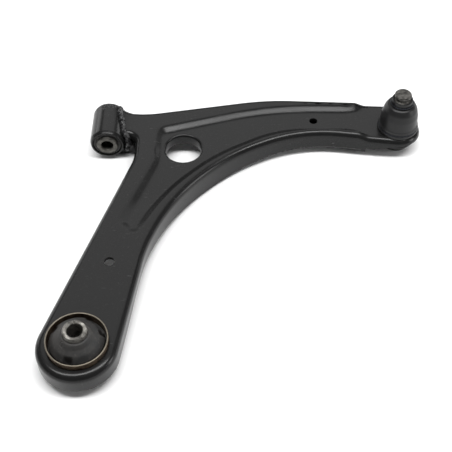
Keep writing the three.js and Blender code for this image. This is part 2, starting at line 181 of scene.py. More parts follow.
BALL = np.array([370.9, 325.0, -17.0])
BIG_HOLE = (101.5, 285.8, 22.5)
BIG_HOLE_ROLL = 2.8
BIG_HOLE_EDGE = -19.0
PUNCHED_HOLES = [(24.7, 106, 6.0), (265.2, 334.2, 5.2), (0, 0, 33.3), (*BALL[:2], 19.9)]
DENT = (68, 279, 2.2, 6.5, 0.7)
LATTICE, LATTICE_ROW = 2.0, 0.866
EDGE_MARGIN, HOLE_MARGIN = 0.75, 0.6
WEB_STEP, HOLE_STEP = 1.5, 1.6


def ease(value, start, end):
    """0 before start, 1 after end, and an even S between them."""
    t = np.clip((value - start) / (end - start), 0, 1)
    return t * t * (3 - 2 * t)


def rounded(corners, step=1.0):
    """Points round a closed shape of corners (x, y, radius). A corner with a radius becomes the arc that
    touches both its sides, with a point about every step along it."""
    line = []
    count = len(corners)
    for i, (x, y, radius) in enumerate(corners):
        corner = np.array([x, y], float)
        back = np.array(corners[i - 1][:2]) - corner
        ahead = np.array(corners[(i + 1) % count][:2]) - corner
        back = back / np.hypot(*back)
        ahead = ahead / np.hypot(*ahead)
        if radius == 0:
            line.append(corner[None])
            continue
        half = math.acos(np.clip(back @ ahead, -1, 1)) / 2
        bisector = (back + ahead) / np.hypot(*(back + ahead))
        centre = corner + bisector * radius / math.sin(half)
        start = corner + back * radius / math.tan(half) - centre
        turn = math.pi - 2 * half
        side = -np.sign(back[0] * ahead[1] - back[1] * ahead[0])
        steps = max(3, math.ceil(turn * radius / step))
        angle = math.atan2(start[1], start[0]) + side * np.linspace(0, turn, steps + 1)
        line.append(centre + radius * np.column_stack([np.cos(angle), np.sin(angle)]))
    return np.concatenate(line)


def evenly(line, spacing, closed=True):
    """The same line with its points an equal distance apart."""
    if closed:
        line = np.vstack([line, line[:1]])
    run = np.concatenate([[0], np.cumsum(np.linalg.norm(np.diff(line, axis=0), axis=1))])
    marks = np.linspace(0, run[-1], max(2, round(run[-1] / spacing)) + 1)
    if closed:
        marks = marks[:-1]
    return np.column_stack([np.interp(marks, run, column) for column in line.T])


def inward(loop):
    """Unit normals that point into an anticlockwise loop."""
    along = np.roll(loop, -1, 0) - np.roll(loop, 1, 0)
    normal = np.column_stack([-along[:, 1], along[:, 0]])
    return normal / np.linalg.norm(normal, axis=1, keepdims=True)


def inside(points, loop):
    """Whether each point is inside the loop: a ray to the right crosses its edges an odd number of times."""
    x, y = points[:, :1], points[:, 1:]
    ax, ay = loop.T
    bx, by = np.roll(loop, -1, 0).T
    height = np.where(ay == by, 1, by - ay)
    crossing = ((ay > y) != (by > y)) & (x < ax + (y - ay) / height * (bx - ax))
    return crossing.sum(1) % 2 == 1


def nearest(points, loop):
    """Distance from each point to the nearest of the loop's points, and that point's number."""
    away = np.linalg.norm(points[:, None] - loop[None], axis=2)
    return away.min(1), away.argmin(1)


def ear_lift(points):
    """The ear rises in an S towards the crown of the front tube, more at its front end."""
    return EAR_LIFT * (1 - ease(points[:, 0], *EAR_LIFT_X)) * ease(points[:, 1], *EAR_LIFT_Y)


def rim_height(points):
    """The rim's top: level, an S down to the ball joint's plate, and the rise of the ear."""
    return ear_lift(points) - WEB_DEPTH * ease(points[:, 0], STEP_FROM, STEP_TO)


def flat_ramp(t, rounding):
    """0 to 1 in a straight ramp whose two ends are rounded over that share of its length."""
    t = np.clip(t, 0, 1)
    top = 1 / (1 - rounding)
    foot = top * t**2 / (2 * rounding)
    middle = top * (t - rounding / 2)
    head = 1 - top * (1 - t) ** 2 / (2 * rounding)
    return np.where(t < rounding, foot, np.where(t > 1 - rounding, head, middle))


def top_height(points):
    """The top face inside the bend. The web's wall falls in a nearly straight ramp from its edge, wider on
    the +Y and -X sides, and dies out along the leg. A small dent lies beside the big hole."""
    loop = evenly(rounded(WEB), WEB_STEP)
    away, number = nearest(points, loop)
    depth = np.where(inside(points, loop), away, 0)
    facing = inward(loop)[number]
    width = WEB_SLOPE - WEB_SLOPE_VARIES * facing[:, 1]
    width = width + WEB_SLOPE_LEFT * np.clip(2 * facing[:, 0] - 1, 0, 1)
    sunk = flat_ramp(depth / width, WEB_ROUNDING) * ease(points[:, 1], *WEB_FADE)
    step = ease(points[:, 0], STEP_FROM, STEP_TO)
    x, y, across, along, deep = DENT
    dent = deep * np.exp(-(((points[:, 0] - x) / across) ** 2) - ((points[:, 1] - y) / along) ** 2)
    return ear_lift(points) - WEB_DEPTH * (1 - (1 - sunk) * (1 - step)) - dent


def flange_edge(points):
    """Height of the flange's lower edge: level, deeper or shallower in smooth mounds about a few spots, and
    rising to the ball joint."""
    height = np.full(len(points), -FLANGE_DEPTH)
    for x, y, reach, drop in FLANGE_DROPS:
        away = np.hypot(points[:, 0] - x, points[:, 1] - y) / reach
        height -= drop * np.exp(-(away**2) / 2)
    start, end, rise = FLANGE_RISE
    return height + rise * ease(points[:, 0], start, end)


def grid_faces(rows, columns, round_columns=False, round_rows=False):
    """Quads between neighbouring rows and columns of a grid of points, all turned the same way."""
    last_row, last_column = rows - (not round_rows), columns - (not round_columns)
    i, j = np.meshgrid(np.arange(last_row), np.arange(last_column), indexing="ij")
    i_next = (i + 1) % rows
    j_next = (j + 1) % columns
    corners = [i * columns + j, i * columns + j_next, i_next * columns + j_next, i_next * columns + j]
    return np.stack(corners, -1).reshape(-1, 4)


def flange_band(loop):
    """Rows of points from the flange's lower edge up its wall and round the bend to the level top."""
    normal = inward(loop)
    low = flange_edge(loop)
    high = rim_height(loop) - BEND
    rows = [np.column_stack([loop, low + share * (high - low)]) for share in np.linspace(0, 1, 11)]
    for angle in np.radians(np.linspace(0, 90, 12))[1:]:
        spot = loop + normal * BEND * (1 - math.cos(angle))
        rows.append(np.column_stack([spot, rim_height(spot) - BEND * (1 - math.sin(angle))]))
    return np.array(rows)


def circle(x, y, radius):
    """Points round a circle, anticlockwise."""
    angle = np.linspace(0, 2 * math.pi, round(2 * math.pi * radius / HOLE_STEP), endpoint=False)
    return np.column_stack([x + radius * np.cos(angle), y + radius * np.sin(angle)])


def flat_top(edge, holes):
    """Triangles that fill the top between its edge loop and the hole loops, on an even lattice of points."""
    low, high = edge.min(0), edge.max(0)
    x = np.arange(low[0], high[0], LATTICE)
    x, y = np.meshgrid(x, np.arange(low[1], high[1], LATTICE * LATTICE_ROW))
    x = x + LATTICE / 2 * (np.arange(len(x)) % 2)[:, None]
    lattice = np.column_stack([x.ravel(), y.ravel()])
    lattice = lattice[inside(lattice, edge)]
    lattice = lattice[nearest(lattice, edge)[0] > LATTICE * EDGE_MARGIN]
    for hole in holes:
        lattice = lattice[(nearest(lattice, hole)[0] > LATTICE * HOLE_MARGIN) & ~inside(lattice, hole)]
    loops = [edge, *holes]
    points = np.vstack([*loops, lattice])
    edges = []
    first = 0
    for loop in loops:
        number = np.arange(len(loop))
        edges += np.column_stack([first + number, first + (number + 1) % len(loop)]).tolist()
        first += len(loop)
    found = delaunay_2d_cdt(points.tolist(), edges, [], 0, 1e-6)
    spots = np.array([tuple(spot) for spot in found[0]])
    faces = np.array(found[2])
    middle = spots[faces].mean(1)
    keep = inside(middle, edge)
    for hole in holes:
        keep &= ~inside(middle, hole)
    return spots, faces[keep]


def rolled_hole(loop, x, y, radius):
    """Rows from the web over the rolled lip of the big hole and down its short wall."""
    spoke = (loop - (x, y)) / np.linalg.norm(loop - (x, y), axis=1, keepdims=True)
    top = top_height(loop)
    rows = []
    for angle in np.radians(np.linspace(0, 90, 10)):
        spot = (x, y) + spoke * (radius + BIG_HOLE_ROLL * (1 - math.sin(angle)))
        rows.append(np.column_stack([spot, top - BIG_HOLE_ROLL * (1 - math.cos(angle))]))
    last = rows[-1]
    for share in np.linspace(0, 1, 5)[1:]:
        height = last[:, 2] + share * (BIG_HOLE_EDGE - last[:, 2])
        rows.append(np.column_stack([last[:, :2], height]))
    return np.array(rows)


def joined_mesh(name, parts, merge=1e-6):
    """One mesh of several parts (points in millimetres, faces), with points that coincide made one."""
    mesh = bpy.data.meshes.new(name)
    points, faces, first = [], [], 0
    for spots, quads in parts:
        spots = np.asarray(spots, float).reshape(-1, 3)
        points.append(place(spots))
        faces += (np.asarray(quads) + first).tolist()
        first += len(spots)
    mesh.from_pydata(np.concatenate(points), [], faces)
    work = bmesh.new()
    work.from_mesh(mesh)
    bmesh.ops.remove_doubles(work, verts=work.verts, dist=merge)
    bmesh.ops.dissolve_degenerate(work, edges=work.edges, dist=1e-7)
    work.to_mesh(mesh)
    work.free()
    return mesh


def piece(name, mesh, material, body, replaced=(), sharp=35):
    """Gives a finished mesh its material and smooth shading, puts it on its body when body is a body's name
    and otherwise bakes it where it stands, and hides the CAD nodes that it stands for.
    """
    mesh.materials.append(material)
    mesh.shade_smooth()
    mesh.set_sharp_from_angle(angle=math.radians(sharp))
    made = bpy.data.objects.new(name, mesh)
    bpy.context.scene.collection.objects.link(made)
    if isinstance(body, str):
        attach(made, body)
    else:
        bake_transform(made)
    if replaced:
        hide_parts(*replaced)


def thickened(mesh, thickness):
    """The same sheet with its thickness added behind it, as one closed mesh."""
    holder = bpy.data.objects.new("sheet", mesh)
    bpy.context.scene.collection.objects.link(holder)
    wall = holder.modifiers.new("thickness", "SOLIDIFY")
    wall.thickness = thickness * MM
    wall.offset = -1
    wall.use_even_offset = False
    solid = bpy.data.meshes.new_from_object(holder.evaluated_get(bpy.context.evaluated_depsgraph_get()))
    bpy.data.objects.remove(holder)
    return solid


def mesh_spots(mesh):
    """The mesh's points, in millimetres from the rear bush axis and the rim's top."""
    co = np.empty(len(mesh.vertices) * 3, np.float32)
    mesh.vertices.foreach_get("co", co)
    return (co.reshape(-1, 3).astype(float) - DATUM) / MM


def push_off_tube(mesh):
    """Moves every point that is inside the front tube's outer face straight out, to just clear of it."""
    radius = TUBE_OUTER + TUBE_CLEAR
    spots = mesh_spots(mesh)
    across = spots[:, [0, 2]] - TUBE_AXIS[[0, 2]]
    away = np.linalg.norm(across, axis=1)
    near = (away < radius) & (np.abs(spots[:, 1] - TUBE_AXIS[1]) < TUBE_REACH)
    moved = spots.copy()
    moved[near, 0] = TUBE_AXIS[0] + across[near, 0] * radius / away[near]
    moved[near, 2] = TUBE_AXIS[2] + across[near, 1] * radius / away[near]
    mesh.vertices.foreach_set("co", place(moved).astype(np.float32).ravel())
    mesh.update()


def pressed_sheet():
    """The whole outer face: flange and bend, top, and the big hole's lip, open where the front tube goes."""
    loop = evenly(rounded(PLAN), LATTICE)
    band = flange_band(loop)
    x, y, radius = BIG_HOLE
    lip_loop = circle(x, y, radius + BIG_HOLE_ROLL)
    lip = rolled_hole(lip_loop, x, y, radius)
    holes = [circle(*hole) for hole in PUNCHED_HOLES] + [lip_loop]
    spots, faces = flat_top(band[-1][:, :2], holes)
    top = np.column_stack([spots, top_height(spots)])
    parts = [(band, grid_faces(len(band), len(loop), round_columns=True)), (top, faces),
             (lip, grid_faces(len(lip), len(lip_loop), round_columns=True))]
    mesh = joined_mesh("arm_sheet", parts, merge=2e-5)
    spots = mesh_spots(mesh)
    away = np.hypot(spots[:, 0] - TUBE_AXIS[0], spots[:, 2] - TUBE_AXIS[2])
    gone = (away < TUBE_OUTER - EAR_CUT_BITE) | (spots[:, 0] < TUBE_AXIS[0] + EAR_CUT_PAST)
    gone &= spots[:, 1] > EAR_CUT_FROM
    work = bmesh.new()
    work.from_mesh(mesh)
    work.verts.ensure_lookup_table()
    bmesh.ops.delete(work, geom=[work.verts[i] for i in np.flatnonzero(gone)], context="VERTS")
    work.to_mesh(mesh)
    work.free()
    return mesh


def node(tree, kind, sockets, **settings):
    """Adds a node with its own settings and fills its sockets. Gives its outputs."""
    made = tree.nodes.new(kind)
    for key, value in settings.items():
        setattr(made, key, value)
    fill(tree, made, sockets)
    return made.outputs


def spot_of(tree):
    """Where a point lies on its object."""
    return node(tree, "ShaderNodeTexCoord", {})["Object"]


def noise(tree, where, size, detail):
    """Cloudy noise between 0 and 1, in patches of about size millimetres."""
    sockets = {"Vector": where, "Scale": 1 / MM / size, "Detail": detail}
    return node(tree, "ShaderNodeTexNoise", sockets)["Fac"]


def ramp(tree, value, low, high, start=0, end=1):
    """A value that goes evenly from start at low to end at high, and stays level beyond both."""
    sockets = {"Value": value, "From Min": low, "From Max": high, "To Min": start, "To Max": end}
    return node(tree, "ShaderNodeMapRange", sockets)[0]


def mix(tree, share, first, second):
    """The colour that share of the way from first to second, each an output or an sRGB hex value."""
    first, second = [linear(colour) if isinstance(colour, str) else colour for colour in (first, second)]
    return node(tree, "ShaderNodeMix", {0: share, 6: first, 7: second}, data_type="RGBA")[2]


def relief(tree, height, strength, depth, **sockets):
    """The normal of a surface raised by up to depth millimetres where height is 1."""
    sockets = {"Height": height, "Strength": strength, "Distance": depth * MM, **sockets}
    return node(tree, "ShaderNodeBump", sockets)[0]


def black_coat():
    """Cathodic dip coat on sheet steel: a satin, nearly neutral black. It shows the sheet's faint orange
    peel, slow changes of gloss, a little pale dust and short handling scratches."""
    material, tree, shader = blank_material("black_dip_coat")
    where = spot_of(tree)
    cloud = noise(tree, where, 45, 4)
    dust = ramp(tree, noise(tree, where, 2.2, 3), 0.62, 0.8, 0, 0.25)
    stretch = {"Vector": where, "Scale": (1000 / 14, 1000 / 0.8, 1000 / 6), "Rotation": (0, 0, 0.5)}
    along = node(tree, "ShaderNodeMapping", stretch)[0]
    scratch = ramp(tree, noise(tree, along, 1000, 1), 0.74, 0.8, 0, 0.5)
    dusty = mix(tree, dust, mix(tree, cloud, "#121212", "#191919"), "#444442")
    fill(tree, shader, {"Base Color": mix(tree, scratch, dusty, "#5c5c5c"), "Specular IOR Level": 0.24,
                        "Roughness": ramp(tree, cloud, 0.3, 0.7, 0.18, 0.28),
                        "Normal": relief(tree, noise(tree, where, 1.8, 2), 0.5, 0.03)})
    return material


coat = black_coat()
sheet = thickened(pressed_sheet(), SHEET)
push_off_tube(sheet)
piece("pressed_arm", sheet, coat, "arm", ["arm_pressing"], sharp=50)

# ---- closing plate under the arm -------------------------
# A shallow tray of 3 mm sheet, pushed up between the flanges of the outer half and welded along both edges.
# It closes the channel into a box where the arm carries most load. Same black coat.

TRAY_FROM, TRAY_TO = 234, 331
TRAY_LOW_FROM, TRAY_LOW_TO = -26.5, -33.7
TRAY_TOP = -14.0
TRAY_SHEET = 3.0
TRAY_BEND = 5.0
CHANNEL_MIDDLE, CHANNEL_MARGIN = 330, 20
GAP = 0.3


def channel_sides(x, inset):
    """The two inner faces of the channel at each x: the plan's near and far sides, moved inwards."""
    loop = evenly(rounded(PLAN), 1.0)
    loop = loop + inset * inward(loop)
    span = loop[(loop[:, 0] > TRAY_FROM - CHANNEL_MARGIN) & (loop[:, 0] < TRAY_TO + CHANNEL_MARGIN)]
    near = span[span[:, 1] < CHANNEL_MIDDLE]
    far = span[span[:, 1] > CHANNEL_MIDDLE]
    near = near[near[:, 0].argsort()]
    far = far[far[:, 0].argsort()]
    return np.interp(x, *near.T), np.interp(x, *far.T)


def tray():
    """Rows along the arm of one section: down the near wall, round the bend, over the floor and up the far
    wall."""
    x = np.linspace(TRAY_FROM, TRAY_TO, 60)
    near, far = channel_sides(x, SHEET + GAP)
    low = TRAY_LOW_FROM + (TRAY_LOW_TO - TRAY_LOW_FROM) * (x - TRAY_FROM) / (TRAY_TO - TRAY_FROM)
    turn = np.radians(np.linspace(0, 90, 9))
    share = np.concatenate([np.linspace(0, 1, 5), np.ones(8)])
    step_in = np.concatenate([np.zeros(5), TRAY_BEND * (1 - np.cos(turn[1:]))])
    drop = np.concatenate([np.zeros(5), TRAY_BEND * np.sin(turn[1:])])
    height = TRAY_TOP + share * (low[:, None] + TRAY_BEND - TRAY_TOP) - drop
    near_half = np.stack([x[:, None] + 0 * step_in, near[:, None] + step_in, height], -1)
    far_half = np.stack([x[:, None] + 0 * step_in, far[:, None] - step_in, height], -1)[:, ::-1]
    rows = np.concatenate([near_half, far_half], 1)
    return rows, grid_faces(*rows.shape[:2])


plate = thickened(joined_mesh("tray", [tray()]), TRAY_SHEET)
piece("closing_tray", plate, coat, "arm", ["closing_plate"])

# ---- weld beads ------------------------------------------
# Gas-shielded arc welds: the frozen pool leaves a scale of ripples, lumps where the wire paused, and a
# shinier skin under the coat. One runs round the front tube's ear, others hold the tray and the tube inside.


def smoothed(points, spacing):
    """An open line through the points with its corners cut four times, spaced evenly."""
    line = np.array(points, float)
    for _ in range(4):
        early = 0.75 * line[:-1] + 0.25 * line[1:]
        late = 0.25 * line[:-1] + 0.75 * line[1:]
        middle = np.stack([early, late], 1).reshape(-1, 3)
        line = np.vstack([line[:1], middle, line[-1:]])
    return evenly(line, spacing, closed=False)


BEAD_SIDES, BEAD_RIPPLE, BEAD_LUMPS = 28, 0.05, (3.2, 2.1, 1.3)


def bead(points, radius, pitch, lump, across, seed):
    """A round bead along a line. Its radius swells once each pitch, as ripples, and by slow waves of random
    phase along and around it, as lumps, and it closes in a quarter circle at both ends."""
    line = smoothed(points, radius / 6)
    run = np.linspace(0, 1, len(line)) * np.linalg.norm(np.diff(line, axis=0), axis=1).sum()
    along = np.gradient(line, axis=0)
    along /= np.linalg.norm(along, axis=1, keepdims=True)
    side = np.array(across, float) - along * (along @ np.array(across, float))[:, None]
    side /= np.linalg.norm(side, axis=1, keepdims=True)
    up = np.cross(along, side)
    angle = np.linspace(0, 2 * math.pi, BEAD_SIDES, endpoint=False)
    chance = np.random.default_rng(seed)
    swell = BEAD_RIPPLE * np.abs(np.sin(math.pi * run / pitch))[:, None] * np.ones(len(angle))
    for pitches in BEAD_LUMPS:
        phase, around = chance.uniform(0, 2 * math.pi, 2)
        wave = np.sin(2 * math.pi * run / (pitches * pitch) + phase)[:, None]
        swell = swell + lump / 3 * wave * (1 + 0.8 * np.cos(2 * angle + around))
    end = np.minimum(run, run[-1] - run) / radius
    cap = np.sqrt(1 - (1 - np.clip(end, 0, 1)) ** 2)
    size = radius * cap[:, None] * (1 + swell)
    rows = line[:, None] + size[..., None] * (
        np.cos(angle)[None, :, None] * side[:, None] + np.sin(angle)[None, :, None] * up[:, None])
    return rows, grid_faces(len(rows), len(angle), round_columns=True)


def weld_coat():
    """Black coat over a rippled bead: thin on the crests, so glossier and paler there, with fine pitting."""
    material, tree, shader = blank_material("coated_weld")
    where = spot_of(tree)
    lumps = noise(tree, where, 3, 3)
    fill(tree, shader, {"Base Color": mix(tree, lumps, "#0d0d0e", "#2c2c2d"), "Specular IOR Level": 0.55,
                        "Roughness": ramp(tree, lumps, 0.35, 0.65, 0.34, 0.18),
                        "Normal": relief(tree, noise(tree, where, 0.9, 2), 0.6, 0.2)})
    return material


weld = weld_coat()
EAR_WELD, EAR_WELD_PITCH = 3.3, 2.8
EAR_WELD_FROM, EAR_WELD_TO = 347, 309
EAR_WELD_OUT, EAR_WELD_UP = 1.0, 0.4
EAR_WELD_DOWN = [(30, 303.6, 0.4), (31.9, 301.8, -8), (31, 301.8, -16), (27.5, 301.8, -25)]


def tube_foot(y):
    """Points where the ear's top meets the tube: a spot slides along the tube until both heights agree."""
    x = np.full(len(y), 25.0)
    for _ in range(40):
        up = ear_lift(np.column_stack([x, y])) - TUBE_AXIS[2]
        x = 0.5 * x + 0.5 * (TUBE_AXIS[0] + np.sqrt(np.maximum((TUBE_OUTER + TUBE_CLEAR) ** 2 - up**2, 0)))
    return np.column_stack([x + EAR_WELD_OUT, y, up + TUBE_AXIS[2] + EAR_WELD_UP])


ear_line = [*tube_foot(np.linspace(EAR_WELD_FROM, EAR_WELD_TO, 8)), *EAR_WELD_DOWN]
mesh = joined_mesh("ear_weld", [bead(ear_line, EAR_WELD, EAR_WELD_PITCH, 0.3, (1, 0, 0), 5)])
piece("ear_weld", mesh, weld, "arm", ["front_tube_weld_outside"])

INNER_WELD, INNER_WELD_X, INNER_WELD_Z = 2.4, TUBE_AXIS[0] + 24.4, -7
inner_line = [(INNER_WELD_X, y, INNER_WELD_Z) for y in (314, 328, 341)]
mesh = joined_mesh("inner_weld", [bead(inner_line, INNER_WELD, INNER_WELD, 0.12, (1, 0, 0), 6)])
piece("inner_weld", mesh, weld, "arm", ["front_tube_weld_inside"])

TRAY_WELD, TRAY_WELD_PITCH = 1.2, 1.8
TRAY_WELD_LOWEST, TRAY_WELD_DROP = -34.5, 0.4
TRAY_WELD_INSET = (16, 6)
TRAY_WELDS = {"near": "closing_plate_weld_rear", "far": "closing_plate_weld_front"}
weld_x = np.linspace(TRAY_FROM + TRAY_WELD_INSET[0], TRAY_TO - TRAY_WELD_INSET[1], 16)
for number, (side, cad_node) in enumerate(TRAY_WELDS.items()):
    spots = np.column_stack([weld_x, channel_sides(weld_x, SHEET - TRAY_WELD - 0.1)[number]])
    weld_z = np.maximum(flange_edge(spots) - TRAY_WELD - TRAY_WELD_DROP, TRAY_WELD_LOWEST)
    line = np.column_stack([spots, weld_z])
    mesh = joined_mesh(cad_node, [bead(line, TRAY_WELD, TRAY_WELD_PITCH, 0.15, (0, 0, 1), 7 + number)])
    piece("tray_weld_" + side, mesh, weld, "arm", [cad_node])

# ---- front bush ------------------------------------------
# A sawn length of thick tube lies along Y and holds a pressed-in rubber bush: outer shell, natural rubber
# bonded to it, and a thick inner sleeve with upset ends, which is clamped to the subframe by the bolt.

FRONT_LIP = 26.9
TUBE_CHAMFER_LENGTH, TUBE_CHAMFER = 4.2, 1.5
FRONT_SLEEVE_HALF, FRONT_SLEEVE_OUTER, FRONT_SLEEVE_END = 28.7, 11.0, 13.3
FRONT_SLEEVE_BORE = 7.3
FRONT_SLEEVE_UPSET = 5.0
FRONT_SHELL_OUTER, FRONT_SHELL_WALL, FRONT_SHELL_HALF = 17.7, 1.4, 24.2


def turning(profile, segments):
    """Angle, radius and height of each point where a closed (radius, height) profile is carried round an
    axis, one row to each point of the profile."""
    angle = np.linspace(0, 2 * math.pi, segments, endpoint=False)[None] + np.zeros((len(profile), 1))
    return angle, profile[:, :1] + 0 * angle, profile[:, 1:] + 0 * angle


def upright(angle, radius, height, centre=(0, 0, 0)):
    """Points about an upright axis through centre."""
    return np.stack([radius * np.cos(angle), radius * np.sin(angle), height], -1) + np.array(centre)


def lying(angle, radius, height, centre):
    """Points about an axis through centre that lies along Y."""
    return np.stack([radius * np.cos(angle), height, -radius * np.sin(angle)], -1) + np.array(centre)


def turned_mesh(name, points):
    """The closed mesh of a turned grid of points."""
    return joined_mesh(name, [(points, grid_faces(*points.shape[:2], round_columns=True, round_rows=True))])


def mirrored(half_profile):
    """The whole clockwise profile of a part that is the same at both ends, from its upper half."""
    return [(r, -h, bend) for r, h, bend in half_profile] + half_profile[::-1]


def bush_rubber():
    """Moulded natural rubber filled with carbon: a matt dark grey, with a pale bloom that gathers in clouds
    and the fine grain of the mould."""
    material, tree, shader = blank_material("moulded_rubber")
    where = spot_of(tree)
    bloom = noise(tree, where, 14, 5)
    cloudy = mix(tree, ramp(tree, bloom, 0.35, 0.7), "#131313", "#2c2a28")
    fleck = ramp(tree, noise(tree, where, 2.5, 4), 0.58, 0.75, 0, 0.4)
    fill(tree, shader, {"Base Color": mix(tree, fleck, cloudy, "#4c4843"),
                        "Roughness": ramp(tree, bloom, 0, 1, 0.5, 0.8),
                        "Normal": relief(tree, noise(tree, where, 0.8, 3), 0.5, 0.06)})
    return material


# Rings about 7 mm apart.
RING_SCALE = 1000 / 22


def turned_steel(name, dark, light, keen, dull, pits, centre, turned_axis):
    """Bare turned steel with a film of oil: a warm grey with faint rings about its axis, dark stains and
    small pits of that depth."""
    material, tree, shader = blank_material(name)
    where = spot_of(tree)
    centred = node(tree, "ShaderNodeMapping", {"Vector": where, "Location": tuple(-place(centre))})[0]
    wave = {"Vector": centred, "Scale": RING_SCALE, "Distortion": 0.4, "Detail": 1}
    rings = node(tree, "ShaderNodeTexWave", wave, wave_type="RINGS", rings_direction=turned_axis)["Fac"]
    stain = ramp(tree, noise(tree, where, 5, 5), 0.33, 0.67)
    scuff = noise(tree, where, 1.2, 4)
    turned = relief(tree, rings, 0.4, 0.05)
    fill(tree, shader, {"Base Color": mix(tree, stain, dark, light), "Metallic": 0.9,
                        "Roughness": ramp(tree, scuff, 0.3, 0.7, keen, dull),
                        "Normal": relief(tree, scuff, 0.6, pits, Normal=turned)})
    return material


tube_profile = mirrored([
    (TUBE_OUTER, TUBE_HALF - TUBE_CHAMFER_LENGTH, 1.5), (TUBE_OUTER - TUBE_CHAMFER, TUBE_HALF, 0.9),
    (TUBE_INNER, TUBE_HALF, 0.5),
])
mesh = turned_mesh("front_tube", lying(*turning(rounded(tube_profile, 0.3), 128), TUBE_AXIS))
piece("front_tube", mesh, coat, "arm", ["front_bush_tube"])

# Weld spatter: drops thrown from the arc that froze on the tube beside the bead.
SPATTER = 110
SPATTER_TURN, SPATTER_TURN_SPREAD, SPATTER_ALONG_SPREAD = 0.15, 0.55, 5.0
SPATTER_FROM_END = 3.2
SPATTER_SIZES = (0.35, 1.0)
SPATTER_SUNK, SPATTER_FLATNESS = 0.15, 0.75


def spatter():
    """Low round drops: small grids of rings from rim to peak, scattered with a fixed chance over the tube's
    upper front end, thickest near the bead."""
    chance = np.random.default_rng(21)
    around = np.linspace(0, 2 * math.pi, 8, endpoint=False)
    rise = np.radians([0, 35, 65, 90])
    turn = chance.normal(SPATTER_TURN, SPATTER_TURN_SPREAD, SPATTER)
    along = TUBE_HALF - SPATTER_FROM_END - np.abs(chance.normal(0, SPATTER_ALONG_SPREAD, SPATTER))
    size = chance.uniform(*SPATTER_SIZES, SPATTER)
    faces = grid_faces(len(rise), len(around), round_columns=True)[:, ::-1]
    parts = []
    for t, y, r in zip(turn, along, size):
        out = np.array([math.sin(t), 0, math.cos(t)])
        side = np.array([math.cos(t), 0, -math.sin(t)])
        ring = np.cos(around)[:, None] * side + np.sin(around)[:, None] * np.array([0, 1, 0])
        peak = TUBE_OUTER - SPATTER_SUNK + SPATTER_FLATNESS * r * np.sin(rise)
        drop = r * np.cos(rise)[:, None, None] * ring + peak[:, None, None] * out + [0, y, 0] + TUBE_AXIS
        parts.append((drop, faces))
    return joined_mesh("weld_spatter", parts)


piece("weld_spatter", spatter(), weld, "arm")

rubber = bush_rubber()
neck = FRONT_SLEEVE_HALF - FRONT_SLEEVE_UPSET - GAP
rubber_profile = mirrored([
    (FRONT_SHELL_OUTER - FRONT_SHELL_WALL - GAP, FRONT_SHELL_HALF + GAP, 0),
    (TUBE_INNER - GAP, FRONT_SHELL_HALF + GAP, 0.4), (TUBE_INNER - GAP, FRONT_LIP - 1.6, 0.8),
    (16.0, FRONT_LIP - 0.2, 1.5), (14.6, FRONT_LIP - 1.4, 0.8), (FRONT_SLEEVE_END + GAP, FRONT_LIP - 1.2, 0),
    (FRONT_SLEEVE_END + GAP, neck, 0), (FRONT_SLEEVE_OUTER + GAP, neck, 0),
])
mesh = turned_mesh("front_rubber", lying(*turning(rounded(rubber_profile, 0.4), 96), TUBE_AXIS))
piece("front_rubber", mesh, rubber, "arm", ["front_bush_rubber"])

sleeve_steel = turned_steel("front_sleeve_steel", "#3e3d3a", "#605e5a", 0.38, 0.52, 0.05, TUBE_AXIS, "Y")
sleeve_profile = mirrored([
    (FRONT_SLEEVE_OUTER, FRONT_SLEEVE_HALF - FRONT_SLEEVE_UPSET, 0.6),
    (FRONT_SLEEVE_END, FRONT_SLEEVE_HALF - FRONT_SLEEVE_UPSET, 0.6),
    (FRONT_SLEEVE_END, FRONT_SLEEVE_HALF - 0.9, 0.4), (FRONT_SLEEVE_END - 1.0, FRONT_SLEEVE_HALF, 0.4),
    (FRONT_SLEEVE_BORE + 1.0, FRONT_SLEEVE_HALF, 0.4), (FRONT_SLEEVE_BORE, FRONT_SLEEVE_HALF - 1.0, 0.4),
])
mesh = turned_mesh("front_sleeve", lying(*turning(rounded(sleeve_profile, 0.3), 96), TUBE_AXIS))
piece("front_sleeve", mesh, sleeve_steel, "front_pivot_sleeve", ["front_inner_sleeve"])

# ---- rear bush -------------------------------------------
# An upright bush pressed into a collar under the sheet. Its thin drawn shell is knurled outside and keeps a
# brownish phosphate film, and its lip is rubbed bright. The rubber rises in a dome to the inner sleeve.

SHELL_TOP, SHELL_BOTTOM, SHELL_OUTER, SHELL_WALL = 8.0, -30.0, 33.0, 1.8
KNURL_TEETH, KNURL_DEPTH = 150, 0.22
REAR_SLEEVE_TOP, REAR_SLEEVE_BOTTOM, REAR_SLEEVE_OUTER, REAR_SLEEVE_BORE = 24.0, -36.0, 13.0, 8.2
SERRATIONS, SERRATION_DEPTH = 44, 0.35
COLLAR_WALL, COLLAR_BOTTOM = 3.0, -28.0
COLLAR_WELD_AT, COLLAR_WELD_Z, COLLAR_WELD = 37.8, -8.0, 1.1
MOULD_NOTCHES = [(152, 7), (256, 9), (18, 7), (64, 10)]
MOULD_NOTCH_DEPTH = 9.0
DOME_RIM, DOME_RIM_HEIGHT = (23.2, 25.6), -1.9
DOME_DRAWN_IN, DOME_DRAWN_FROM, DOME_DRAWN_TO = 1.6, (16, 26), (56, 68)
MOULD_DOT, MOULD_DOT_ABOVE = (-12.4, -11.6, 1.7, 0.7), 6
RUBBER_OUTER, RUBBER_INNER = 30.0, 14.0
SLEEVE_MARK, SLEEVE_MARK_AT, SLEEVE_MARK_HALF = 1.3, 97, 4.5


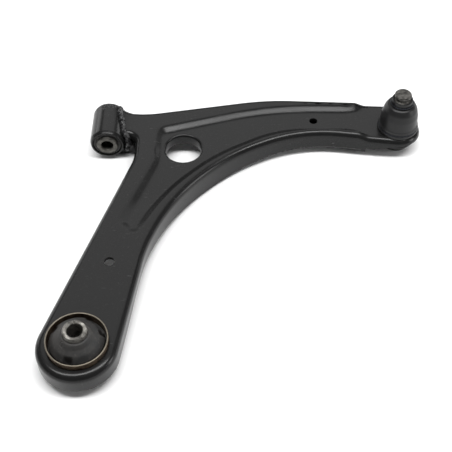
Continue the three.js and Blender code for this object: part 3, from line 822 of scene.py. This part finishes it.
def drawn_shell():
    """Drawn and phosphated steel: mottled brown-grey outside, with dark stains, and bright metal where the
    lip attribute says that handling has rubbed the film off."""
    material, tree, shader = blank_material("phosphated_shell")
    where = spot_of(tree)
    lip = node(tree, "ShaderNodeAttribute", {}, attribute_name="lip")["Fac"]
    stain = ramp(tree, noise(tree, where, 9, 6), 0.35, 0.65)
    fine = noise(tree, where, 1.5, 3)
    film = mix(tree, stain, "#3c3026", "#6b5c4b")
    fill(tree, shader, {"Base Color": mix(tree, lip, film, "#6f695e"), "Metallic": 0.8,
                        "Roughness": ramp(tree, fine, 0.3, 0.7, 0.34, 0.5),
                        "Normal": relief(tree, fine, 0.4, 0.05)})
    return material


shell_profile = rounded([
    (SHELL_OUTER - SHELL_WALL, SHELL_BOTTOM, 0.5), (SHELL_OUTER, SHELL_BOTTOM, 0.8),
    (SHELL_OUTER, SHELL_TOP - 1.2, 0), (SHELL_OUTER, SHELL_TOP, 0.8),
    (SHELL_OUTER - SHELL_WALL, SHELL_TOP, 0.8),
], 0.25)
angle, radius, height = turning(shell_profile, KNURL_TEETH * 4)
knurled = (radius > SHELL_OUTER - 0.01) & (height < SHELL_TOP - 1.1)
radius = radius - knurled * KNURL_DEPTH * (0.5 + 0.5 * np.cos(KNURL_TEETH * angle))
mesh = turned_mesh("rear_shell", upright(angle, radius, height))
lip = mesh.attributes.new("lip", "FLOAT", "POINT")
lip.data.foreach_set("value", ease(mesh_spots(mesh)[:, 2], SHELL_TOP - 0.7, SHELL_TOP - 0.2))
piece("rear_shell", mesh, drawn_shell(), "arm", ["rear_bush_shell"], sharp=60)

collar_bore, collar_top = SHELL_OUTER + GAP, -SHEET - GAP
collar_profile = rounded([
    (collar_bore, COLLAR_BOTTOM, 0.4), (collar_bore + COLLAR_WALL, COLLAR_BOTTOM, 1.0),
    (collar_bore + COLLAR_WALL, collar_top, 0.4), (collar_bore, collar_top, 0),
], 0.3)
mesh = turned_mesh("rear_collar", upright(*turning(collar_profile, 128)))
piece("rear_collar", mesh, coat, "arm", ["rear_bush_collar"])

around = np.linspace(0, 2 * math.pi, 16, endpoint=False)
angle, across, up = turning(COLLAR_WELD * np.column_stack([np.cos(around), np.sin(around)]), 300)
swell = 1 + 0.12 * np.abs(np.sin(48 * angle)) + 0.1 * np.sin(7 * angle + 1) * np.sin(3 * angle)
points = upright(angle, COLLAR_WELD_AT + across * swell, COLLAR_WELD_Z + up * swell)
piece("collar_weld", turned_mesh("collar_weld", points), weld, "arm", ["rear_collar_weld"])


def domed(angle, radius, height):
    """The dome's top, dented by a soft notch at each moulding gate near the rim, drawn in between two of
    them, and with a small raised dot ringed by a groove."""
    degrees = np.degrees(angle) % 360
    outer = ease(radius, *DOME_RIM) * (height > DOME_RIM_HEIGHT)
    for centre, half in MOULD_NOTCHES:
        away = (degrees - centre + 180) % 360 - 180
        height = height - MOULD_NOTCH_DEPTH * outer * np.exp(-((away / half) ** 4))
    between = ease(degrees, *DOME_DRAWN_FROM) * (1 - ease(degrees, *DOME_DRAWN_TO))
    radius = radius - DOME_DRAWN_IN * outer * between
    x, y, size, rise = MOULD_DOT
    away = np.hypot(radius * np.cos(angle) - x, radius * np.sin(angle) - y) / size
    dot = rise * (np.exp(-((away / 0.6) ** 4)) - 0.8 * np.exp(-(((away - 1.1) / 0.3) ** 2)))
    return angle, radius, height + dot * (height > MOULD_DOT_ABOVE)


def dome_profile():
    """The rubber's section: foot, straight bonded wall, rim and the dome up to the inner sleeve."""
    return rounded([
        (13.3, -28, 0), (26, -25, 4), (30.9, -22, 1.5), (30.9, -2, 0.6), (29.5, -2, 0.6),
        (28.9, 4.2, 1.8), (23.8, 10.2, 8), (18.6, 14.2, 7), (15.4, 18.6, 3), (13.3, 18.8, 0),
    ], 0.35)


def split_long(profile, longest):
    """The same closed profile with its long straight stretches divided."""
    ends = np.roll(profile, -1, 0)
    parts = np.maximum(1, np.ceil(np.linalg.norm(ends - profile, axis=1) / longest)).astype(int)
    return np.concatenate([a + (b - a) * np.linspace(0, 1, n, endpoint=False)[:, None]
                           for a, b, n in zip(profile, ends, parts)])


def dome_sector(name, start, steps=90):
    """The mesh of a quarter of the rubber, from one diagonal to the next, with both cut faces closed."""
    profile = split_long(dome_profile(), 0.6)
    angle = math.radians(start) + np.linspace(0, math.pi / 2, steps + 1)[None] + np.zeros((len(profile), 1))
    points = upright(*domed(angle, profile[:, :1] + 0 * angle, profile[:, 1:] + 0 * angle))
    faces = grid_faces(*points.shape[:2], round_rows=True).tolist()
    number = np.arange(len(profile)) * points.shape[1]
    ends = [number.tolist(), (number + steps)[::-1].tolist()]
    mesh = bpy.data.meshes.new(name)
    mesh.from_pydata(place(points.reshape(-1, 3)), [], faces + ends)
    return mesh


for side, start, out in (("right", -45, (1, 0, 0)), ("front", 45, (0, 1, 0)), ("left", 135, (-1, 0, 0)),
                         ("back", 225, (0, -1, 0))):
    outer, inner = place(np.array(out) * RUBBER_OUTER), place(np.array(out) * RUBBER_INNER)
    held = ("arm", "rear_pivot_sleeve", outer, inner)
    mesh = dome_sector("rear_rubber_" + side, start)
    piece("rear_rubber_" + side, mesh, rubber, held, ["rear_bush_rubber"], sharp=50)

rear_steel = turned_steel("rear_sleeve_steel", "#575551", "#8b8984", 0.34, 0.5, 0.06,
                          (0, 0, REAR_SLEEVE_TOP), "Z")
rear_sleeve_profile = split_long(rounded([
    (REAR_SLEEVE_BORE, REAR_SLEEVE_BOTTOM, 0.5), (REAR_SLEEVE_OUTER, REAR_SLEEVE_BOTTOM, 0.8),
    (REAR_SLEEVE_OUTER, REAR_SLEEVE_TOP - 1.1, 0.3), (REAR_SLEEVE_OUTER - 1.1, REAR_SLEEVE_TOP, 0.3),
    (REAR_SLEEVE_BORE + 0.9, REAR_SLEEVE_TOP, 0.3), (REAR_SLEEVE_BORE, REAR_SLEEVE_TOP - 0.9, 0.3),
], 0.3), 3.0)
angle, radius, height = turning(rear_sleeve_profile, SERRATIONS * 8)
end_face = (height > REAR_SLEEVE_TOP - 0.02) & (radius > REAR_SLEEVE_BORE + 0.8)
tooth = np.abs((angle * SERRATIONS / (2 * math.pi)) % 1 - 0.5) * 2
height = height - end_face * SERRATION_DEPTH * tooth
mark = np.exp(-((np.degrees(angle) - SLEEVE_MARK_AT) / SLEEVE_MARK_HALF) ** 2)
height = height - SLEEVE_MARK * mark * ease(height, REAR_SLEEVE_TOP - 1.4, REAR_SLEEVE_TOP - 0.2)
mesh = turned_mesh("rear_sleeve", upright(angle, radius, height))
piece("rear_sleeve", mesh, rear_steel, "rear_pivot_sleeve", ["rear_inner_sleeve"], sharp=30)

# ---- ball joint ------------------------------------------
# A turned housing pressed up through a welded collar holds the ball in a plastic seat, closed from below by
# a rolled-in cap. The forged stud has a groove for the knuckle's pinch bolt and wears a bell-shaped boot.

HOUSING_OUTER, HOUSING_FOOT, HOUSING_CHAMBER, HOUSING_MOUTH, HOUSING_RIM = 19.6, 18.2, 14.85, 11.6, 17.4
HOUSING_TOP, HOUSING_BOTTOM, HOUSING_FLANGE = 1.0, -31.4, 23.2
HOUSING_FLANGE_LOW, HOUSING_FLANGE_HIGH = -23.3, -20.6
RING_GROOVE, RING_GROOVE_LOW, RING_GROOVE_HIGH = 18.4, -4.9, -2.9
MOUTH_RISE = 7.2
COLLAR_TOP, COLLAR_TOP_RADIUS, COLLAR_SHOULDER = -8.8, 20.4, -14.0
CAP_RADIUS, CAP_TOP, CAP_BOTTOM, CAP_RIM_BOTTOM = 16.2, -29.3, -32.0, -31.2
CAP_RECESS, CAP_RECESS_DEPTH = 8.4, 0.6
BALL_RADIUS, BALL_FLAT = 12.6, -11.6
BOOT_SPLIT, BOOT_SPLIT_OUTER, BOOT_SPLIT_INNER = 9.5, 23.3, 21.4
BOOT_BEND_FROM, BOOT_BEND_TO = 1.5, 31.0
ball_axis = (*BALL[:2], 0)


def ball_arc(radius, low, high, steps):
    """Profile points on a circle about the ball's centre between two heights above it."""
    turn = np.linspace(math.asin(low / radius), math.asin(high / radius), steps)
    return [(radius * math.cos(t), BALL[2] + radius * math.sin(t), 0) for t in turn]


mouth_edge = math.sqrt(HOUSING_CHAMBER**2 - MOUTH_RISE**2)
housing_profile = rounded([
    (CAP_RADIUS, HOUSING_BOTTOM, 0.3), (HOUSING_FOOT, HOUSING_BOTTOM, 0.9),
    (HOUSING_FOOT, HOUSING_FLANGE_LOW, 0.5), (HOUSING_FLANGE, HOUSING_FLANGE_LOW, 0.6),
    (HOUSING_FLANGE, HOUSING_FLANGE_HIGH, 0.6), (HOUSING_OUTER, HOUSING_FLANGE_HIGH, 0.3),
    (HOUSING_OUTER, RING_GROOVE_LOW, 0.2), (RING_GROOVE, RING_GROOVE_LOW, 0.2),
    (RING_GROOVE, RING_GROOVE_HIGH, 0.2), (HOUSING_OUTER, RING_GROOVE_HIGH, 0.2),
    (HOUSING_OUTER, HOUSING_TOP, 0.6), (HOUSING_RIM, HOUSING_TOP, 0.4),
    (HOUSING_MOUTH, BALL[2] + MOUTH_RISE, 0.3), (mouth_edge, BALL[2] + MOUTH_RISE, 0),
    *ball_arc(HOUSING_CHAMBER, 0, MOUTH_RISE, 6)[::-1][1:], (HOUSING_CHAMBER, CAP_TOP, 0),
    (CAP_RADIUS, CAP_TOP, 0),
], 0.3)
mesh = turned_mesh("ball_housing", upright(*turning(housing_profile, 96), ball_axis))
piece("ball_housing", mesh, coat, "arm", ["ball_joint_housing"])

collar_foot = HOUSING_FLANGE_HIGH + GAP
collar_profile = rounded([
    (HOUSING_OUTER + GAP, collar_foot, 0.2), (HOUSING_FLANGE, collar_foot, 0.5),
    (HOUSING_FLANGE, COLLAR_SHOULDER, 1.0), (COLLAR_TOP_RADIUS, COLLAR_TOP, 0.2),
    (HOUSING_OUTER + GAP, COLLAR_TOP, 0),
], 0.3)
mesh = turned_mesh("ball_collar", upright(*turning(collar_profile, 96), ball_axis))
piece("ball_collar", mesh, coat, "arm", ["ball_joint_collar"])

cap_rim, cap_face = CAP_RADIUS - GAP, CAP_TOP - GAP
cap_profile = rounded([
    (0, CAP_BOTTOM, 0), (12.6, CAP_BOTTOM, 1.0), (14.2, CAP_RIM_BOTTOM, 0.8), (cap_rim, CAP_RIM_BOTTOM, 0.4),
    (cap_rim, cap_face, 0.3), (CAP_RECESS + 0.8, cap_face, 0.3),
    (CAP_RECESS, cap_face - CAP_RECESS_DEPTH, 0.3), (0, cap_face - CAP_RECESS_DEPTH, 0),
], 0.3)
mesh = turned_mesh("ball_cap", upright(*turning(cap_profile, 96), ball_axis))
piece("ball_cap", mesh, coat, "arm", ["ball_joint_cap"])

STUD_TOP, STUD_LAND, STUD_NECK, STUD_CHAMFER = 50.0, 10.4, 7.0, 1.7
STUD_GROOVE, STUD_GROOVE_AT = 8.3, 44
stud_steel = turned_steel("stud_steel", "#343331", "#6c6a66", 0.28, 0.46, 0.14, (*BALL[:2], STUD_TOP), "Z")
neck_rise = math.sqrt(BALL_RADIUS**2 - STUD_NECK**2)
stud_profile = split_long(rounded([
    (0, BALL[2] + BALL_FLAT, 0), *ball_arc(BALL_RADIUS, BALL_FLAT, neck_rise, 28), (STUD_NECK, 3, 3),
    (STUD_LAND, 20, 1), (STUD_LAND, 40.8, 0.5), (STUD_GROOVE + 0.3, STUD_GROOVE_AT - 1.7, 0.8),
    (STUD_GROOVE, STUD_GROOVE_AT, 3), (STUD_GROOVE + 0.3, STUD_GROOVE_AT + 1.7, 0.8), (STUD_LAND, 47.0, 0.4),
    (STUD_LAND, STUD_TOP - STUD_CHAMFER, 0.4), (STUD_LAND - STUD_CHAMFER, STUD_TOP, 0.4), (0, STUD_TOP, 0),
], 0.3), 1.2)
mesh = turned_mesh("ball_stud", upright(*turning(stud_profile, 96), ball_axis))
piece("ball_stud_turned", mesh, stud_steel, "stud", ["ball_stud"])


def boot_rubber():
    """Moulded chloroprene: an even charcoal with a soft waxy sheen."""
    material, tree, shader = blank_material("boot_rubber")
    where = spot_of(tree)
    bloom = noise(tree, where, 18, 4)
    fill(tree, shader, {"Base Color": mix(tree, bloom, "#131313", "#1d1d1e"), "Specular IOR Level": 0.28,
                        "Roughness": ramp(tree, bloom, 0.3, 0.7, 0.32, 0.44),
                        "Normal": relief(tree, noise(tree, where, 0.7, 2), 0.4, 0.03)})
    return material


boot = boot_rubber()
lower_boot = split_long(rounded([
    (23.5, -4.7, 0), (25.3, -4.7, 0.6), (25.3, -1.6, 0.8), (23.6, -1.2, 0.2), (23.6, 0.8, 0.2),
    (24.7, 1.2, 0.5), (24.6, 3.0, 0.3), (24.1, 3.3, 0.2), (24.1, 4.8, 0.3), (23.7, 5.2, 0.2),
    (BOOT_SPLIT_OUTER, BOOT_SPLIT, 0), (BOOT_SPLIT_INNER, BOOT_SPLIT, 0), (22, 6, 1), (21.9, 3, 1),
    (19.9, 0.9, 0.4), (19.9, -2.5, 0.3), (23.5, -2.5, 0),
], 0.3), 1.5)
mesh = turned_mesh("boot_lower", upright(*turning(lower_boot, 128), ball_axis))
held = ("arm", "boot_waist", place((*BALL[:2], BOOT_BEND_FROM)), place((*BALL[:2], BOOT_SPLIT)))
piece("boot_lower", mesh, boot, held, ["dust_boot"])

upper_boot = split_long(rounded([
    (BOOT_SPLIT_INNER, BOOT_SPLIT, 0), (BOOT_SPLIT_OUTER, BOOT_SPLIT, 0), (22.4, 18.5, 14), (20.3, 27.4, 9),
    (17.0, 33.2, 4), (15.0, 34.3, 1), (13.1, 34.3, 0.5), (12.9, 41.8, 0.8), (10.7, 41.8, 0.4),
    (10.7, 32.4, 0), (13.5, 31.8, 1), (16.2, 29.2, 3), (18.6, 23.4, 5),
], 0.3), 1.5)
mesh = turned_mesh("boot_upper", upright(*turning(upper_boot, 128), ball_axis))
held = ("boot_waist", "boot_crown", place((*BALL[:2], BOOT_SPLIT)), place((*BALL[:2], BOOT_BEND_TO)))
piece("boot_upper", mesh, boot, held, ["dust_boot"])


def blackened_spring():
    """Oil-blackened spring steel wire: dark blue-black with a dull, slightly uneven shine."""
    material, tree, shader = blank_material("blackened_spring_steel")
    marks = noise(tree, spot_of(tree), 0.8, 3)
    fill(tree, shader, {"Base Color": mix(tree, marks, "#17181b", "#3a3c42"), "Metallic": 0.9,
                        "Roughness": ramp(tree, marks, 0, 1, 0.3, 0.5)})
    return material


spring = blackened_spring()
LAP, LAP_END = 30, 3


def wire_ring(name, inner, outer, low, high, lap_from):
    """A flattened ring of wire that laps over itself: its section is an oval, swollen along the lap."""
    around = np.linspace(0, 2 * math.pi, 20, endpoint=False)
    middle, size = (inner + outer) / 2, (outer - inner) / 2
    level, tall = (low + high) / 2, (high - low) / 2
    profile = np.column_stack([middle + size * np.cos(around), level + tall * np.sin(around)])
    angle, radius, height = turning(profile, 128)
    past = np.degrees(angle) - lap_from
    lap = ease(past, 0, LAP_END) * (1 - ease(past, LAP, LAP + LAP_END))
    radius = middle + (radius - middle) * (0.82 + 0.18 * lap)
    return turned_mesh(name, upright(angle, radius, height, ball_axis))


piece("boot_lower_ring", wire_ring("boot_lower_ring", 23.9, 25, -0.9, 0.5, 40), spring, "arm",
      ["boot_lower_clip"])
piece("boot_upper_ring", wire_ring("boot_upper_ring", 13.2, 14.5, 36, 37.4, 60), spring, "boot_crown",
      ["boot_upper_clip"])

# ---- parts hidden inside the bushes and the joint --------
# The front bush's shell, the ball's acetal seat, its preload ring and the housing's snap ring keep their
# plain turned shapes, since only a cut-open arm shows them. Each gets the finish of its own material.


def acetal():
    """Natural acetal, moulded: milky white with a waxy gloss and faint flow marks."""
    material, tree, shader = blank_material("natural_acetal")
    flow = noise(tree, spot_of(tree), 8, 3)
    fill(tree, shader, {"Base Color": mix(tree, flow, "#d3d0c5", "#e6e4dc"), "Roughness": 0.4})
    return material


def finish_node(name, material):
    """Gives a CAD node that stays as it is its real finish."""
    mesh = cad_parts[name].data
    mesh.materials.clear()
    mesh.materials.append(material)


inner_shell = turned_steel("front_shell_steel", "#4d4337", "#7b6e5d", 0.4, 0.55, 0.05, TUBE_AXIS, "Y")
finish_node("front_bush_shell", inner_shell)
finish_node("ball_seat", acetal())
finish_node("seat_preload_ring", rubber)
finish_node("housing_snap_ring", spring)
